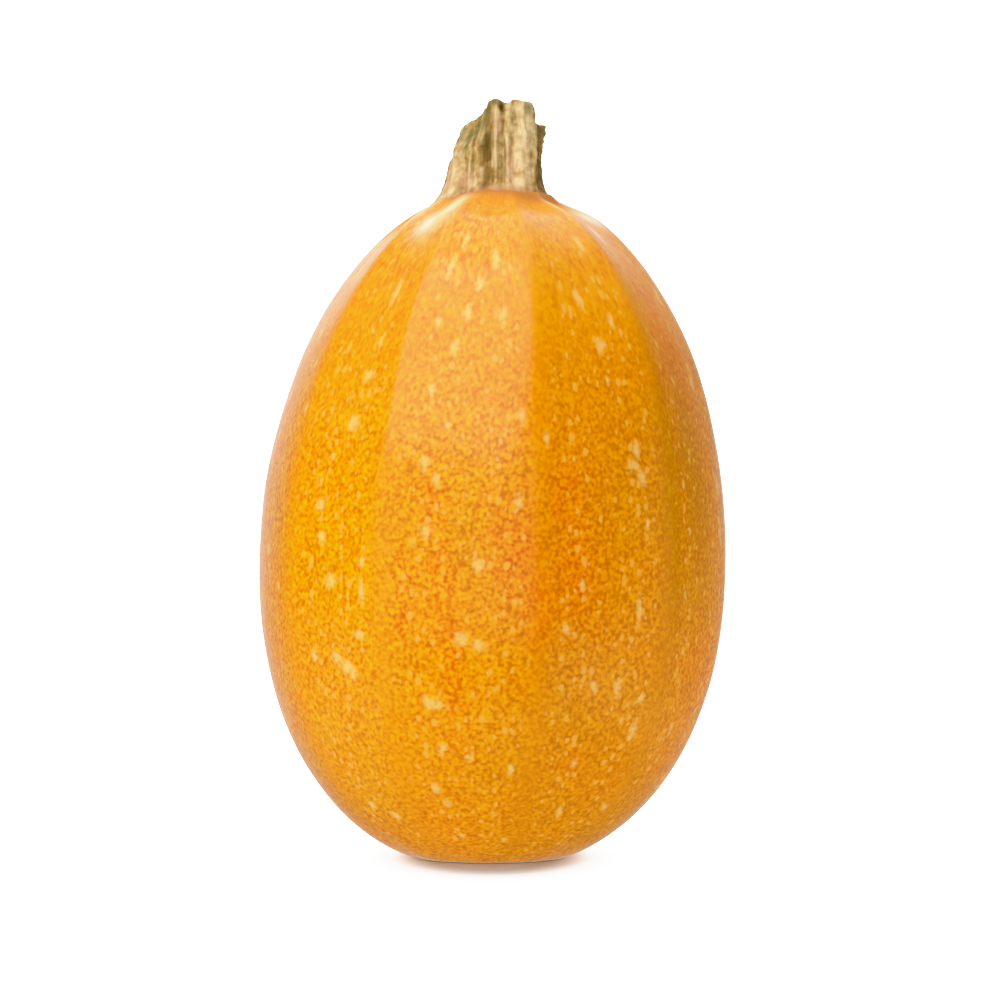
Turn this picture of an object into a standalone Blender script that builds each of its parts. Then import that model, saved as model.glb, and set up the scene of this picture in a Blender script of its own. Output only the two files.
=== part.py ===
"""A spaghetti squash as picked: the ribbed fruit, and the dried stem that sits on its crown.

Metres, +Z up. The origin is the middle of the small flat foot that the fruit stands on.
The fruit's face is towards -Y. Angles are in degrees round the axis, from -Y towards +X.
"""

import math

import bmesh
import bpy

# The fruit's outline: two superellipse arcs that meet at the waist
FRUIT_RADIUS = 0.0744
WAIST_HEIGHT = 0.0943
LOWER_REACH = 0.0980  # from the waist to where the bottom would close, just below the foot
LOWER_FULLNESS = 2.20
UPPER_REACH = 0.1187
UPPER_FULLNESS = 2.0
LEAN_ABOVE = 0.025  # sideways shift of the axis for each metre of height
LEAN_BELOW = 0.006
LEAN_BLEND = 0.020

# The ribs: ten rounded edges with flatter skin between them
RIB_CRESTS = (11.5, 47.0, 83.0, 119.5, 155.0, 191.0, 228.0, 264.0, 303.0, 333.0)
RIB_DEPTH = 0.0020
CREST_ROUNDING = 0.12
CROWN_FADE = (0.013, 0.026)  # radii between which the ribs grow out of the crown
FOOT_FADE = (0.016, 0.060)

# The crown falls a little beside the stem, most on the right
CROWN_DIP = 0.0016
DIP_STARTS = (0.0155, 0.0195)
DIP_ENDS = (0.020, 0.033)

# The scar that the flower left, in the middle of the foot
SCAR_RADIUS = 0.0062
SCAR_DEPTH = 0.0012
SCAR_BUTTON = 0.0003

# The stem: five thick ridges, some with a lesser one beside it, each as (angle, metres)
STEM_SHIFT = 0.0016
STEM_SECTION = (
    (-90, 0.0142), (-62, 0.0150), (-46, 0.0129), (-37, 0.0139), (-30, 0.0127), (-23, 0.0130),
    (-11, 0.0096), (3, 0.0125), (12, 0.0112), (20, 0.0130), (26, 0.0126), (38, 0.0152),
    (54, 0.0157), (68, 0.0109), (98, 0.0144), (136, 0.0102), (172, 0.0148), (190, 0.0122),
    (200, 0.0126), (219, 0.0100), (246, 0.0152), (258, 0.0132),
)
STEM_FOOT = (
    (-90, 0.0238), (-74, 0.0220), (-58, 0.0190), (-46, 0.0174), (-35, 0.0172), (-22, 0.0156),
    (-11, 0.0148), (4, 0.0154), (12, 0.0152), (30, 0.0166), (54, 0.0168), (68, 0.0162),
    (92, 0.0172), (112, 0.0172), (136, 0.0152), (172, 0.0185), (219, 0.0155), (246, 0.0210),
)
STEM_RIM = (
    (-118, 0.2295), (-90, 0.2298), (-66, 0.2310), (-50, 0.2326), (-40, 0.2338), (-26, 0.2374),
    (-12, 0.2390), (4, 0.2392), (14, 0.2385), (28, 0.2389), (52, 0.2390), (62, 0.2370),
    (74, 0.2326), (104, 0.2322), (136, 0.2326), (172, 0.2370), (205, 0.2350),
)
STEM_TURN = (
    (-90, -0.0024), (-62, -0.0034), (-40, -0.0046), (-26, -0.0052), (-14, -0.0014), (0, -0.0004),
    (30, -0.0012), (54, -0.0016), (68, -0.0004), (84, 0.0016), (100, 0.0020), (136, -0.0010),
    (172, -0.0014), (246, -0.0030),
)
# The height in which the flared foot narrows, round the stem
STEM_FLARE = (
    (-90, 0.0062), (-46, 0.0044), (4, 0.0036), (50, 0.0038), (92, 0.0039), (172, 0.0045),
    (246, 0.0055),
)
TURN_STARTS = 0.55  # of the stem's height
# The ridges wear down towards the broken top
WORN_RADIUS = 0.0132
WORN_SHARE = 0.35
WORN_SPAN = (0.45, 0.95)
SKIRT_THICKNESS = 0.0005
PITH_HEIGHT = 0.2356
PITH_SINK = 0.0012
JOINT_GAP = 0.0003

# Mesh
FACES_PER_RIB = 8
LOWER_RINGS = 13
# Lifts of the rings above the waist, in degrees, closer where the crown dips round the stem
UPPER_LIFTS = (
    0.0, 5.0, 10.0, 15.0, 20.0, 25.0, 30.0, 35.0, 40.0, 45.0, 50.0, 55.0, 60.0, 64.0, 67.0, 70.0,
    72.5, 75.0, 77.0, 79.0, 82.0, 86.0,
)
STEM_SIDES = 96
STEM_LEVELS = (0.03, 0.07, 0.12, 0.18, 0.26, 0.35, 0.45, 0.55, 0.65, 0.75, 0.84, 0.91, 0.965, 1.0)
RIM_RINGS = ((0.92, 0.0003), (0.80, 0.0), (0.60, 0.0), (0.34, 0.0))  # share of radius, rise
BASE_RINGS = (0.78, 0.50, 0.24)

RIND_COLOUR = (0.80, 0.30, 0.012, 1.0)
STEM_COLOUR = (0.52, 0.36, 0.15, 1.0)


def ease(value, start, end):
    """0 up to start, 1 from end on, and smooth between."""
    share = min(max((value - start) / (end - start), 0.0), 1.0)
    return share * share * (3.0 - 2.0 * share)


def around(angle, stations):
    """The value at an angle, eased between the stations on either side of it."""
    first_angle, first_value = stations[0]
    turned = (angle - first_angle) % 360.0
    closed = stations + ((first_angle + 360.0, first_value),)
    for (here, value), (there, next_value) in zip(closed, closed[1:]):
        if turned <= there - first_angle:
            share = ease(turned + first_angle, here, there)
            return value + (next_value - value) * share
    return first_value


def axis_shift(height):
    """The sideways place of the fruit's axis, which leans a little to +X above the waist."""
    above = height - WAIST_HEIGHT
    bend = math.hypot(above, LEAN_BLEND)
    return LEAN_ABOVE * (above + bend) / 2.0 + LEAN_BELOW * (above - bend) / 2.0


def outline_point(lift, reach, fullness):
    """(radius, height over the waist, outward slope) on an arc. lift is 0 at the waist, 90 at the end."""
    power = 2.0 / fullness
    across = max(math.cos(math.radians(lift)), 0.0) ** power
    along = math.sin(math.radians(lift)) ** power
    normal_out = across ** (fullness - 1.0) / FRUIT_RADIUS
    normal_up = along ** (fullness - 1.0) / reach
    return FRUIT_RADIUS * across, reach * along, math.atan2(normal_up, normal_out)


def fruit_outline():
    """The fruit's outline from the foot up, as (radius, height, outward slope, rib depth)."""
    foot_share = (WAIST_HEIGHT / LOWER_REACH) ** (LOWER_FULLNESS / 2.0)
    foot_lift = math.degrees(math.asin(foot_share))
    rings = []
    for step in range(LOWER_RINGS):
        lift = foot_lift * (1.0 - step / LOWER_RINGS)
        radius, drop, slope = outline_point(lift, LOWER_REACH, LOWER_FULLNESS)
        rings.append((radius, WAIST_HEIGHT - drop, -slope, RIB_DEPTH * ease(radius, *FOOT_FADE)))
    for lift in UPPER_LIFTS:
        radius, rise, slope = outline_point(lift, UPPER_REACH, UPPER_FULLNESS)
        rings.append((radius, WAIST_HEIGHT + rise, slope, RIB_DEPTH * ease(radius, *CROWN_FADE)))
    return rings


def hollow(between):
    """How far the skin falls in between two crests, which are at -1 and 1, as a share."""
    return math.hypot(1.0 - between * between, CREST_ROUNDING) - CREST_ROUNDING


def rib_stations():
    """(angle, hollow) for each line of points up the fruit, closer where ribs are narrower."""
    stations = []
    for number, crest in enumerate(RIB_CRESTS):
        following = RIB_CRESTS[(number + 1) % len(RIB_CRESTS)]
        width = (following - crest) % 360.0
        for step in range(FACES_PER_RIB):
            share = step / FACES_PER_RIB
            stations.append((crest + width * share, hollow(2.0 * share - 1.0)))
    return stations


def place(angle, radius, height, shift):
    """A point at an angle round an axis that stands shift to the side."""
    turn = math.radians(angle)
    return (shift + radius * math.sin(turn), -radius * math.cos(turn), height)


def crown_dip(radius, angle):
    """How far the crown has fallen at a radius and angle."""
    side = 0.6 + 0.4 * math.sin(math.radians(angle))
    return CROWN_DIP * side * ease(radius, *DIP_STARTS) * (1.0 - ease(radius, *DIP_ENDS))


def crown_height(point):
    """The height of the fruit's crown straight above or below a point near the stem."""
    beside = point[0] - axis_shift(WAIST_HEIGHT + UPPER_REACH)
    from_axis = math.hypot(beside, point[1])
    dome = WAIST_HEIGHT + UPPER_REACH * math.sqrt(1.0 - (from_axis / FRUIT_RADIUS) ** 2)
    return dome - crown_dip(from_axis, math.degrees(math.atan2(beside, -point[1])))


def skin_over(rings, bottom, top):
    """A closed mesh through rings of points, lowest ring first, with a point at either end."""
    body = bmesh.new()
    loops = [[body.verts.new(point) for point in ring] for ring in rings]
    low_pole = body.verts.new(bottom)
    high_pole = body.verts.new(top)
    count = len(loops[0])
    for here in range(count):
        there = (here + 1) % count
        body.faces.new((low_pole, loops[0][there], loops[0][here]))
        body.faces.new((high_pole, loops[-1][here], loops[-1][there]))
        for lower, upper in zip(loops, loops[1:]):
            body.faces.new((lower[here], lower[there], upper[there], upper[here]))
    bmesh.ops.recalc_face_normals(body, faces=body.faces)
    return body


def add_piece(name, body, material):
    """Puts a mesh into the scene as a smooth-shaded object of one material."""
    mesh = bpy.data.meshes.new(name)
    body.to_mesh(mesh)
    body.free()
    mesh.shade_smooth()
    mesh.materials.append(material)
    piece = bpy.data.objects.new(name, mesh)
    bpy.context.collection.objects.link(piece)
    return piece


def plain_material(name, colour, roughness):
    material = bpy.data.materials.new(name)
    material.use_nodes = True
    shader = material.node_tree.nodes["Principled BSDF"]
    shader.inputs["Base Color"].default_value = colour
    shader.inputs["Roughness"].default_value = roughness
    shader.inputs["Metallic"].default_value = 0.0
    return material


def scar_rings(angles, foot_shift):
    """The flower scar, from its button out: a shallow dish sunk in the flat foot."""
    dish = ((0.30, SCAR_DEPTH - SCAR_BUTTON), (0.62, SCAR_DEPTH), (0.88, SCAR_DEPTH * 0.5), (1.0, 0.0))
    return [
        [place(angle, SCAR_RADIUS * share, depth, foot_shift) for angle in angles]
        for share, depth in dish
    ]


def make_fruit():
    stations = rib_stations()
    foot_shift = axis_shift(0.0)
    rings = scar_rings([angle for angle, _ in stations], foot_shift)
    for radius, height, slope, depth in fruit_outline():
        ring = []
        for angle, share in stations:
            sunk = depth * share
            if height > WAIST_HEIGHT:
                sunk += crown_dip(radius, angle)
            skin_height = height - sunk * math.sin(slope)
            ring.append(
                place(angle, radius - sunk * math.cos(slope), skin_height, axis_shift(height))
            )
        rings.append(ring)
    crown = (axis_shift(WAIST_HEIGHT + UPPER_REACH), 0.0, WAIST_HEIGHT + UPPER_REACH)
    body = skin_over(rings, (foot_shift, 0.0, SCAR_DEPTH - 2.0 * SCAR_BUTTON), crown)
    return add_piece("fruit", body, plain_material("rind", RIND_COLOUR, 0.40))


def stem_point(angle, level):
    """A point on the stem's side. level is 0 on the crown and 1 at the rim of the broken top."""
    foot = place(angle, around(angle, STEM_FOOT), 0.0, STEM_SHIFT)
    start = crown_height(foot) + JOINT_GAP + SKIRT_THICKNESS
    height = start + (around(angle, STEM_RIM) - start) * level
    section = around(angle, STEM_SECTION)
    section += (WORN_RADIUS - section) * WORN_SHARE * ease(level, *WORN_SPAN)
    flare = around(angle, STEM_FOOT) - around(angle, STEM_SECTION)
    flare *= math.exp((start - height) / around(angle, STEM_FLARE))
    turn = around(angle, STEM_TURN) * ease(level, TURN_STARTS, 1.0)
    return place(angle, section + flare + turn, height, STEM_SHIFT)


def inward(point, share, height):
    """The point drawn in towards the stem's axis, at a height of its own."""
    return (STEM_SHIFT + (point[0] - STEM_SHIFT) * share, point[1] * share, height)


def on_crown(point, share):
    """The point drawn in towards the stem's axis and set down on the crown, with the gap."""
    flat = inward(point, share, 0.0)
    return (flat[0], flat[1], crown_height(flat) + JOINT_GAP)


def broken_top(point, share, rise):
    """A point on the stem's broken end, which sinks from the rim to the shrunken pith."""
    towards_pith = ease(1.0 - share, 0.0, 1.0)
    sink = PITH_SINK * math.sin(math.pi * (1.0 - share)) if rise == 0.0 else -rise
    return inward(point, share, point[2] + (PITH_HEIGHT - point[2]) * towards_pith - sink)


def make_stem():
    angles = [360.0 * step / STEM_SIDES for step in range(STEM_SIDES)]
    skirt = [stem_point(angle, 0.0) for angle in angles]
    rings = [[on_crown(point, share) for point in skirt] for share in reversed(BASE_RINGS)]
    rings.append([on_crown(point, 1.0) for point in skirt])
    rings.append(skirt)
    rings.extend([stem_point(angle, level) for angle in angles] for level in STEM_LEVELS)
    rim = rings[-1]
    rings.extend([broken_top(point, share, rise) for point in rim] for share, rise in RIM_RINGS)
    axis = (STEM_SHIFT, 0.0, 0.0)
    pith = (STEM_SHIFT, 0.0, PITH_HEIGHT)
    body = skin_over(rings, on_crown(axis, 1.0), pith)
    return add_piece("stem", body, plain_material("dried_stem", STEM_COLOUR, 0.80))


def clear_scene():
    for item in list(bpy.data.objects):
        bpy.data.objects.remove(item, do_unlink=True)


clear_scene()
make_fruit()
make_stem()
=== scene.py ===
"""A spaghetti squash: its speckled, ribbed rind and dried, corky stem, lit as in a product photo.

Metres, +Z up, the fruit's face towards -Y. Angles are in degrees round the axis, from -Y
towards +X, as in the part's source.
"""

import math

import bpy
import numpy as np
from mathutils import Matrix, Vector, noise


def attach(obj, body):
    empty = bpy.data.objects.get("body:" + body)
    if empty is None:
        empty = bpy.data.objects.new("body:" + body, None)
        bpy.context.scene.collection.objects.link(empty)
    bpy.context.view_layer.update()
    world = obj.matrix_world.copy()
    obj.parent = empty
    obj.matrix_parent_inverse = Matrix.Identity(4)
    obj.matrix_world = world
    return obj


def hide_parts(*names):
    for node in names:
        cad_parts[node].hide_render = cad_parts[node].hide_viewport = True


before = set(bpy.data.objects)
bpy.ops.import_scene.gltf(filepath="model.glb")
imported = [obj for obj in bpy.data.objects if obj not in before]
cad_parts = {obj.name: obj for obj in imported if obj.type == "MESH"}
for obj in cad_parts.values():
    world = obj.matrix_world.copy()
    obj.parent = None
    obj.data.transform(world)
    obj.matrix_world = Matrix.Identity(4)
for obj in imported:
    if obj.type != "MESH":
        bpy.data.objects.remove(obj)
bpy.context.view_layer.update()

MM = 0.001
# Lights are placed round the fruit's middle, and turned to it
MID_HEIGHT = 0.11

# The fruit's outline and ribs, as the solid has them
FRUIT_RADIUS = 74.4 * MM
WAIST_HEIGHT = 94.3 * MM
LOWER_REACH = 98.0 * MM
LOWER_FULLNESS = 2.20
UPPER_REACH = 118.7 * MM
UPPER_FULLNESS = 2.0
LEAN_ABOVE = 0.025
LEAN_BELOW = 0.006
LEAN_BLEND = 20.0 * MM
RIB_CRESTS = (11.5, 47.0, 83.0, 119.5, 155.0, 191.0, 228.0, 264.0, 303.0, 333.0)
RIB_DEPTH = 2.0 * MM
CREST_ROUNDING = 0.22
# Low down, where the fruit grew fattest, its crests are broader than the solid's. This is added
# to their rounding below the first height, and nothing above the second.
ADDED_ROUNDING = 0.22
ADDED_BELOW = (115.0 * MM, 155.0 * MM)
# The ribs fade out between these radii, near the stem and under the fruit
CROWN_FADE = (13.0 * MM, 26.0 * MM)
FOOT_FADE = (16.0 * MM, 60.0 * MM)
FOOT_ROUNDING = 0.5 * MM
SCAR_RADIUS = 6.2 * MM
SCAR_DEPTH = 1.2 * MM
SCAR_BUTTON = 0.3 * MM

# The skin's mesh is about as fine as its smallest marks
SKIN_SPACING = 1.16 * MM
SKIN_STEPS = 360
WELD = 0.001 * MM


def ease(value, start, end):
    """0 up to start, 1 from end on, and smooth between."""
    share = np.clip((value - start) / (end - start), 0.0, 1.0)
    return share * share * (3.0 - 2.0 * share)


def around(angles, stations):
    """The values at some angles, each eased between the stations on either side of it."""
    first_angle, first_value = stations[0]
    closed = stations + ((first_angle + 360.0, first_value),)
    turned = first_angle + (angles - first_angle) % 360.0
    values = np.full(np.shape(angles), first_value, float)
    for (here, value), (there, next_value) in zip(closed, closed[1:]):
        inside = (turned >= here) & (turned <= there)
        values = np.where(inside, value + (next_value - value) * ease(turned, here, there), values)
    return values


def axis_shift(height):
    """The sideways place of the fruit's axis, which leans a little to +X above the waist."""
    above = height - WAIST_HEIGHT
    bend = np.hypot(above, LEAN_BLEND)
    return LEAN_ABOVE * (above + bend) / 2.0 + LEAN_BELOW * (above - bend) / 2.0


def angle_between(angles, centre):
    """The signed turn in degrees from centre to each angle, between -180 and 180."""
    return (angles - centre + 180.0) % 360.0 - 180.0


def arc_points(lifts, reach, fullness):
    """Radii, heights over the waist and outward slopes on one superellipse arc."""
    power = 2.0 / fullness
    across = np.clip(np.cos(lifts), 0.0, 1.0) ** power
    along = np.clip(np.sin(lifts), 0.0, 1.0) ** power
    falls, rises = across ** (fullness - 1.0), along ** (fullness - 1.0)
    slopes = np.arctan2(rises / reach, falls / FRUIT_RADIUS)
    return FRUIT_RADIUS * across, reach * along, slopes


def skin_outline():
    """The fruit's outline in even steps, as rows of (radius, height, slope, rib depth, length)."""
    lifts = np.radians(np.linspace(0.0, 90.0, 2000))
    radii, drops, slopes = arc_points(lifts[::-1], LOWER_REACH, LOWER_FULLNESS)
    heights = WAIST_HEIGHT - drops
    rounded = (heights + np.hypot(heights, FOOT_ROUNDING)) / 2.0
    slopes = np.arctan2(np.gradient(-radii), np.gradient(rounded))
    lower = np.stack([radii, rounded, -slopes, RIB_DEPTH * ease(radii, *FOOT_FADE)])
    radii, rises, slopes = arc_points(lifts[1:], UPPER_REACH, UPPER_FULLNESS)
    upper = np.stack([radii, WAIST_HEIGHT + rises, slopes, RIB_DEPTH * ease(radii, *CROWN_FADE)])
    rows = np.concatenate([lower, upper], axis=1)
    steps = np.hypot(np.diff(rows[0]), np.diff(rows[1]))
    lengths = np.concatenate([[0.0], np.cumsum(steps)])
    evenly = np.linspace(0.0, lengths[-1], round(lengths[-1] / SKIN_SPACING))
    return np.stack([np.interp(evenly, lengths, row) for row in rows] + [evenly])


def select_only(piece):
    bpy.ops.object.select_all(action="DESELECT")
    piece.select_set(True)
    bpy.context.view_layer.objects.active = piece


def spun_skin(name, radii, heights, steps):
    """A closed skin, spun round the Z axis from an outline that starts and ends on it."""
    chain = [(0.0, -radius, height) for radius, height in zip(radii, heights)]
    mesh = bpy.data.meshes.new(name)
    mesh.from_pydata(chain, [(i, i + 1) for i in range(len(chain) - 1)], [])
    piece = bpy.data.objects.new(name, mesh)
    bpy.context.collection.objects.link(piece)
    select_only(piece)
    bpy.ops.object.mode_set(mode="EDIT")
    bpy.ops.mesh.select_all(action="SELECT")
    bpy.ops.mesh.spin(steps=steps, angle=math.tau, center=(0.0, 0.0, 0.0), axis=(0.0, 0.0, 1.0))
    bpy.ops.mesh.select_all(action="SELECT")
    bpy.ops.mesh.remove_doubles(threshold=WELD)
    bpy.ops.mesh.normals_make_consistent(inside=False)
    bpy.ops.mesh.select_all(action="DESELECT")
    bpy.ops.object.mode_set(mode="OBJECT")
    bpy.ops.object.shade_smooth()
    return piece


def points_of(piece):
    points = np.empty(len(piece.data.vertices) * 3)
    piece.data.vertices.foreach_get("co", points)
    return points.reshape(-1, 3)


def put_points(piece, points):
    piece.data.vertices.foreach_set("co", points.reshape(-1))
    piece.data.update()


def put_attribute(piece, name, values):
    """Writes one number or one vector for each vertex, for the material to read."""
    flat = np.asarray(values, np.float32)
    kind, field = ("FLOAT", "value") if flat.ndim == 1 else ("FLOAT_VECTOR", "vector")
    attribute = piece.data.attributes.new(name, kind, "POINT")
    attribute.data.foreach_set(field, flat.reshape(-1))


def grain(points, size, seed):
    """Smooth noise between about -1 and 1 at each point, with lumps of about the size given."""
    shift = Vector((seed * 7.3, seed * 3.1, seed * 5.7))
    return np.array([noise.noise(Vector(point) / size + shift) for point in points])


def between_crests(angles):
    """For each angle: its place between two crests, from -1 to 1, and degrees to the nearest."""
    place = np.zeros(len(angles))
    nearest = np.full(len(angles), 180.0)
    for number, crest in enumerate(RIB_CRESTS):
        width = (RIB_CRESTS[(number + 1) % len(RIB_CRESTS)] - crest) % 360.0
        turned = (angles - crest) % 360.0
        place = np.where(turned < width, 2.0 * turned / width - 1.0, place)
        nearest = np.minimum(nearest, np.abs(angle_between(angles, crest)))
    return place, nearest


# The rind's pale flecks that show most from the front, as (angle, height, width, length) with
# sizes in millimetres. Growth draws them out towards the stem.
FRONT_FLECKS = (
    (-15, 194, 2.2, 7), (-18, 186, 2.2, 6), (-1, 188, 2.6, 8), (-6, 180, 3.2, 5),
    (-37, 179, 2.6, 9), (-9, 171, 3.4, 6), (2, 170, 3.4, 5), (-18, 168, 2.2, 4),
    (-12, 160, 3.2, 5), (28, 176, 3.2, 7), (38, 193, 2.2, 9), (38, 169, 2.4, 6),
    (32, 161, 4.2, 6), (-36, 162, 2.6, 4), (-37, 152, 4.8, 4), (-17, 147, 2.6, 5),
    (32, 150, 2.0, 5), (-39, 137, 4.6, 5), (7, 139, 2.6, 5), (-12, 136, 2.4, 3),
    (-44, 127, 3.2, 3), (38, 129, 3.0, 7), (37, 124, 5.0, 4), (39, 120, 3.0, 5),
    (-17, 125, 3.0, 6), (-14, 120, 2.8, 5), (-46, 112, 4.6, 5), (6, 113, 3.0, 6),
    (-16, 104, 4.4, 5), (-45, 102, 3.4, 4), (-3, 94, 4.2, 5), (-42, 89, 5.0, 5),
    (-32, 95, 3.0, 5), (-32, 86, 2.8, 8), (40, 106, 2.2, 5), (22, 88, 2.4, 6),
    (-63, 87, 3.2, 4), (-59, 142, 2.6, 5), (-63, 156, 2.4, 3), (-7, 72, 4.6, 5),
    (-3, 70, 4.0, 4), (-41, 66, 5.2, 4), (-38, 63, 4.6, 5), (-36, 61, 3.0, 5),
    (-33, 73, 5.0, 2.6), (-49, 66, 3.6, 4), (18, 75, 3.0, 4), (-16, 53, 3.6, 5),
    (-13, 52, 3.2, 4), (34, 57, 3.0, 7), (27, 57, 3.4, 4), (42, 53, 3.2, 4),
    (42, 43, 3.2, 6), (38, 80, 2.6, 8), (-13, 39, 4.2, 2.6), (-6, 36, 3.0, 2.6),
    (-17, 26, 3.2, 5), (-14, 22, 3.0, 4), (6, 32, 2.4, 5), (25, 34, 3.0, 3),
    (44, 19, 3.0, 4), (25, 19, 2.8, 4), (-11, 11, 2.6, 3), (6, 9, 2.4, 3),
    (-36, 17, 3.2, 5), (-45, 20, 2.8, 4), (56, 104, 2.0, 3), (54, 118, 2.0, 3),
    (60, 43, 3.0, 5), (54, 84, 2.0, 4), (13, 132, 2.2, 5), (20, 125, 2.0, 3),
)
# Further than this many degrees from the front they are scattered, and this is how many
SCATTERED_FROM = 72.0
SCATTERED_FLECKS = 190


def scattered_flecks():
    """Flecks like the front's for the rest of the fruit: most lie along the sides of the crests."""
    draw = np.random.default_rng(41)
    flecks = []
    while len(flecks) < SCATTERED_FLECKS:
        crest = RIB_CRESTS[draw.integers(len(RIB_CRESTS))]
        angle = crest + draw.choice((-1.0, 1.0)) * draw.uniform(6.0, 17.0)
        height = draw.uniform(12.0, 200.0)
        width = draw.uniform(1.9, 3.4) * (1.35 if draw.random() < 0.22 else 1.0)
        length = width * draw.uniform(1.0, 1.7) * (1.0 + 0.5 * float(ease(height, 130.0, 200.0)))
        if abs(angle_between(angle, 0.0)) > SCATTERED_FROM:
            flecks.append((angle, height, width, length))
    return flecks


def fleck_field(angles, heights, radii, lengths, outline):
    """1 in the middle of a fleck, 0 at its edge and below 0 outside. The material cuts the flecks
    out of it, with a soft and ragged edge."""
    field = np.full(len(angles), -1.0)
    for angle, height, width, length in list(FRONT_FLECKS) + scattered_flecks():
        middle = np.interp(height * MM, outline[1], outline[4])
        across = np.radians(angle_between(angles, angle)) * radii / (width * MM / 2.0)
        length = length * (1.0 + 0.25 * float(ease(height, 150.0, 185.0)))
        along = (lengths - middle) / (length * MM / 2.0)
        field = np.maximum(field, 1.0 - np.hypot(across, along))
    return field


# Where the crests run into the stem they rise to narrow ridges, as (angle, lift, width), with
# the last two in millimetres
CROWN_RIDGES = (
    (45.5, 0.5, 0.8), (82, 0.5, 1.2), (116, 0.7, 1.3), (152, 0.5, 1.3), (188, 0.7, 1.5),
    (224, 0.6, 1.3), (258, 0.8, 1.5), (296, 0.9, 1.7), (323, 0.8, 3.0),
)
# A span is the radii at which a form begins, is full, starts to fade, and is gone
RIDGE_SPAN = (14.0 * MM, 19.0 * MM, 22.0 * MM, 46.0 * MM)
CROWN_DIP = 1.6 * MM
DIP_SPAN = (15.5 * MM, 19.5 * MM, 20.0 * MM, 33.0 * MM)


def crown_dip(radii, angles):
    """How far the crown falls beside the stem, most on the right."""
    side = 0.6 + 0.4 * np.sin(np.radians(angles))
    share = ease(radii, *DIP_SPAN[:2]) * (1.0 - ease(radii, *DIP_SPAN[2:]))
    return CROWN_DIP * share * side


def crown_ridges(radii, angles):
    """How far each point near the stem lies up a ridge, from 0 to 1, and its lift."""
    on_ridge = np.zeros(len(angles))
    lift = np.zeros(len(angles))
    span = ease(radii, *RIDGE_SPAN[:2]) * (1.0 - ease(radii, *RIDGE_SPAN[2:]))
    for angle, height, width in CROWN_RIDGES:
        across = np.radians(angle_between(angles, angle)) * radii / (width * MM)
        share = span * np.exp(-(across**2))
        on_ridge = np.maximum(on_ridge, share * height)
        lift = lift + share * height * MM
    return on_ridge, lift


# Patches where the rind ripened redder, as (angle, height, degrees wide, millimetres tall)
BLUSHES = (
    (-14, 112, 5, 14), (-12, 90, 4, 20), (-9, 64, 3, 22), (6, 98, 9, 22), (11, 84, 7, 20),
    (20, 94, 10, 24), (18, 112, 6, 16), (-21, 84, 3, 16), (62, 168, 10, 24), (150, 110, 14, 40),
    (205, 80, 12, 34), (262, 120, 12, 34), (100, 70, 10, 30),
)
# Crests where some green of the unripe rind is left, in the same terms
GREENS = (
    (49, 106, 6, 60), (60, 118, 9, 44), (156, 90, 7, 60), (228, 130, 7, 56),
)
# Painted highlights on the crown beside the stem: pale pinkish-white reflections painted into the
# skin's colour, in the same terms
PAINTED_GLINTS = (
    (-40, 206, 8, 4), (-44, 201, 7, 5), (56, 205, 6, 4), (77, 203, 11, 5), (58, 198, 5, 6),
    (-68, 204, 12, 4),
)
# How far from the stem the skin is brown, and how far it has dried out
COLLAR_WIDTH = 3.0 * MM
DRIED_WIDTH = 9.0 * MM
# How densely the granules lie round the fruit: most on the side that faced the sun. Where they are
# sparse the skin is painted darker too, which on the fruit's right side is painted shade
DENSITY_AND_LIGHT = (
    (-120, 0.5), (-70, 0.9), (-5, 0.9), (14, 0.45), (60, 0.3), (100, 0.4), (150, 0.8), (200, 0.5),
)
# Near the stem the marks run side by side, as if round a drum of this radius
COMB_RADIUS = 45.0 * MM


def patches(angles, heights, spots):
    """How deep each point lies in a set of soft patches, from 0 to 1."""
    field = np.zeros(len(angles))
    for angle, height, width, tall in spots:
        across = angle_between(angles, angle) / width
        along = (heights / MM - height) / tall
        field = np.maximum(field, np.exp(-1.6 * (across**2 + along**2)))
    return field


def rib_hollows(place, heights):
    """How deep the skin lies between two crests, as a share: 0 on them, and most halfway."""
    rounding = CREST_ROUNDING + ADDED_ROUNDING * (1.0 - ease(heights, *ADDED_BELOW))
    return np.hypot(1.0 - place * place, rounding) - rounding


def swells(spun, radii):
    """How far the skin's unevenness pushes it out. The ends of the fruit are even."""
    uneven = 0.35 * grain(spun, 34.0 * MM, 1) + 0.10 * grain(spun, 12.0 * MM, 2)
    return uneven * MM * ease(radii, 20.0 * MM, 50.0 * MM)


def scar_rise(radii, heights):
    """How far the flower scar rises into the foot: a dish with a button in its middle."""
    dish = (1.0 - ease(radii, 0.45 * SCAR_RADIUS, SCAR_RADIUS)) * SCAR_DEPTH
    button = (1.0 - ease(radii, 0.0, 0.4 * SCAR_RADIUS)) * SCAR_BUTTON
    return np.where(heights < WAIST_HEIGHT, dish - button, 0.0)


def growth_flow(outline, radii, heights, turns):
    """The places at which marks are drawn, so that they follow growth: even all ways below the
    waist, and longer and narrower towards the stem."""
    stretch = 1.0 + 0.35 * ease(outline[1], WAIST_HEIGHT, 190.0 * MM)
    above = outline[1] > WAIST_HEIGHT
    ring_rows = np.where(above, np.sqrt(FRUIT_RADIUS * outline[0]), outline[0])
    steps = (np.gradient(outline[4]) / stretch) ** 2 - np.gradient(ring_rows) ** 2
    climbed = np.cumsum(np.sqrt(np.maximum(steps, 0.0)))
    climbed = climbed - np.interp(WAIST_HEIGHT, outline[1], climbed)
    upper = heights > WAIST_HEIGHT
    ring = np.where(upper, np.interp(heights, outline[1], ring_rows), radii)
    rise = np.where(upper, WAIST_HEIGHT + np.interp(heights, outline[1], climbed), heights)
    return np.stack([ring * np.sin(turns), -ring * np.cos(turns), rise], axis=1)


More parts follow.
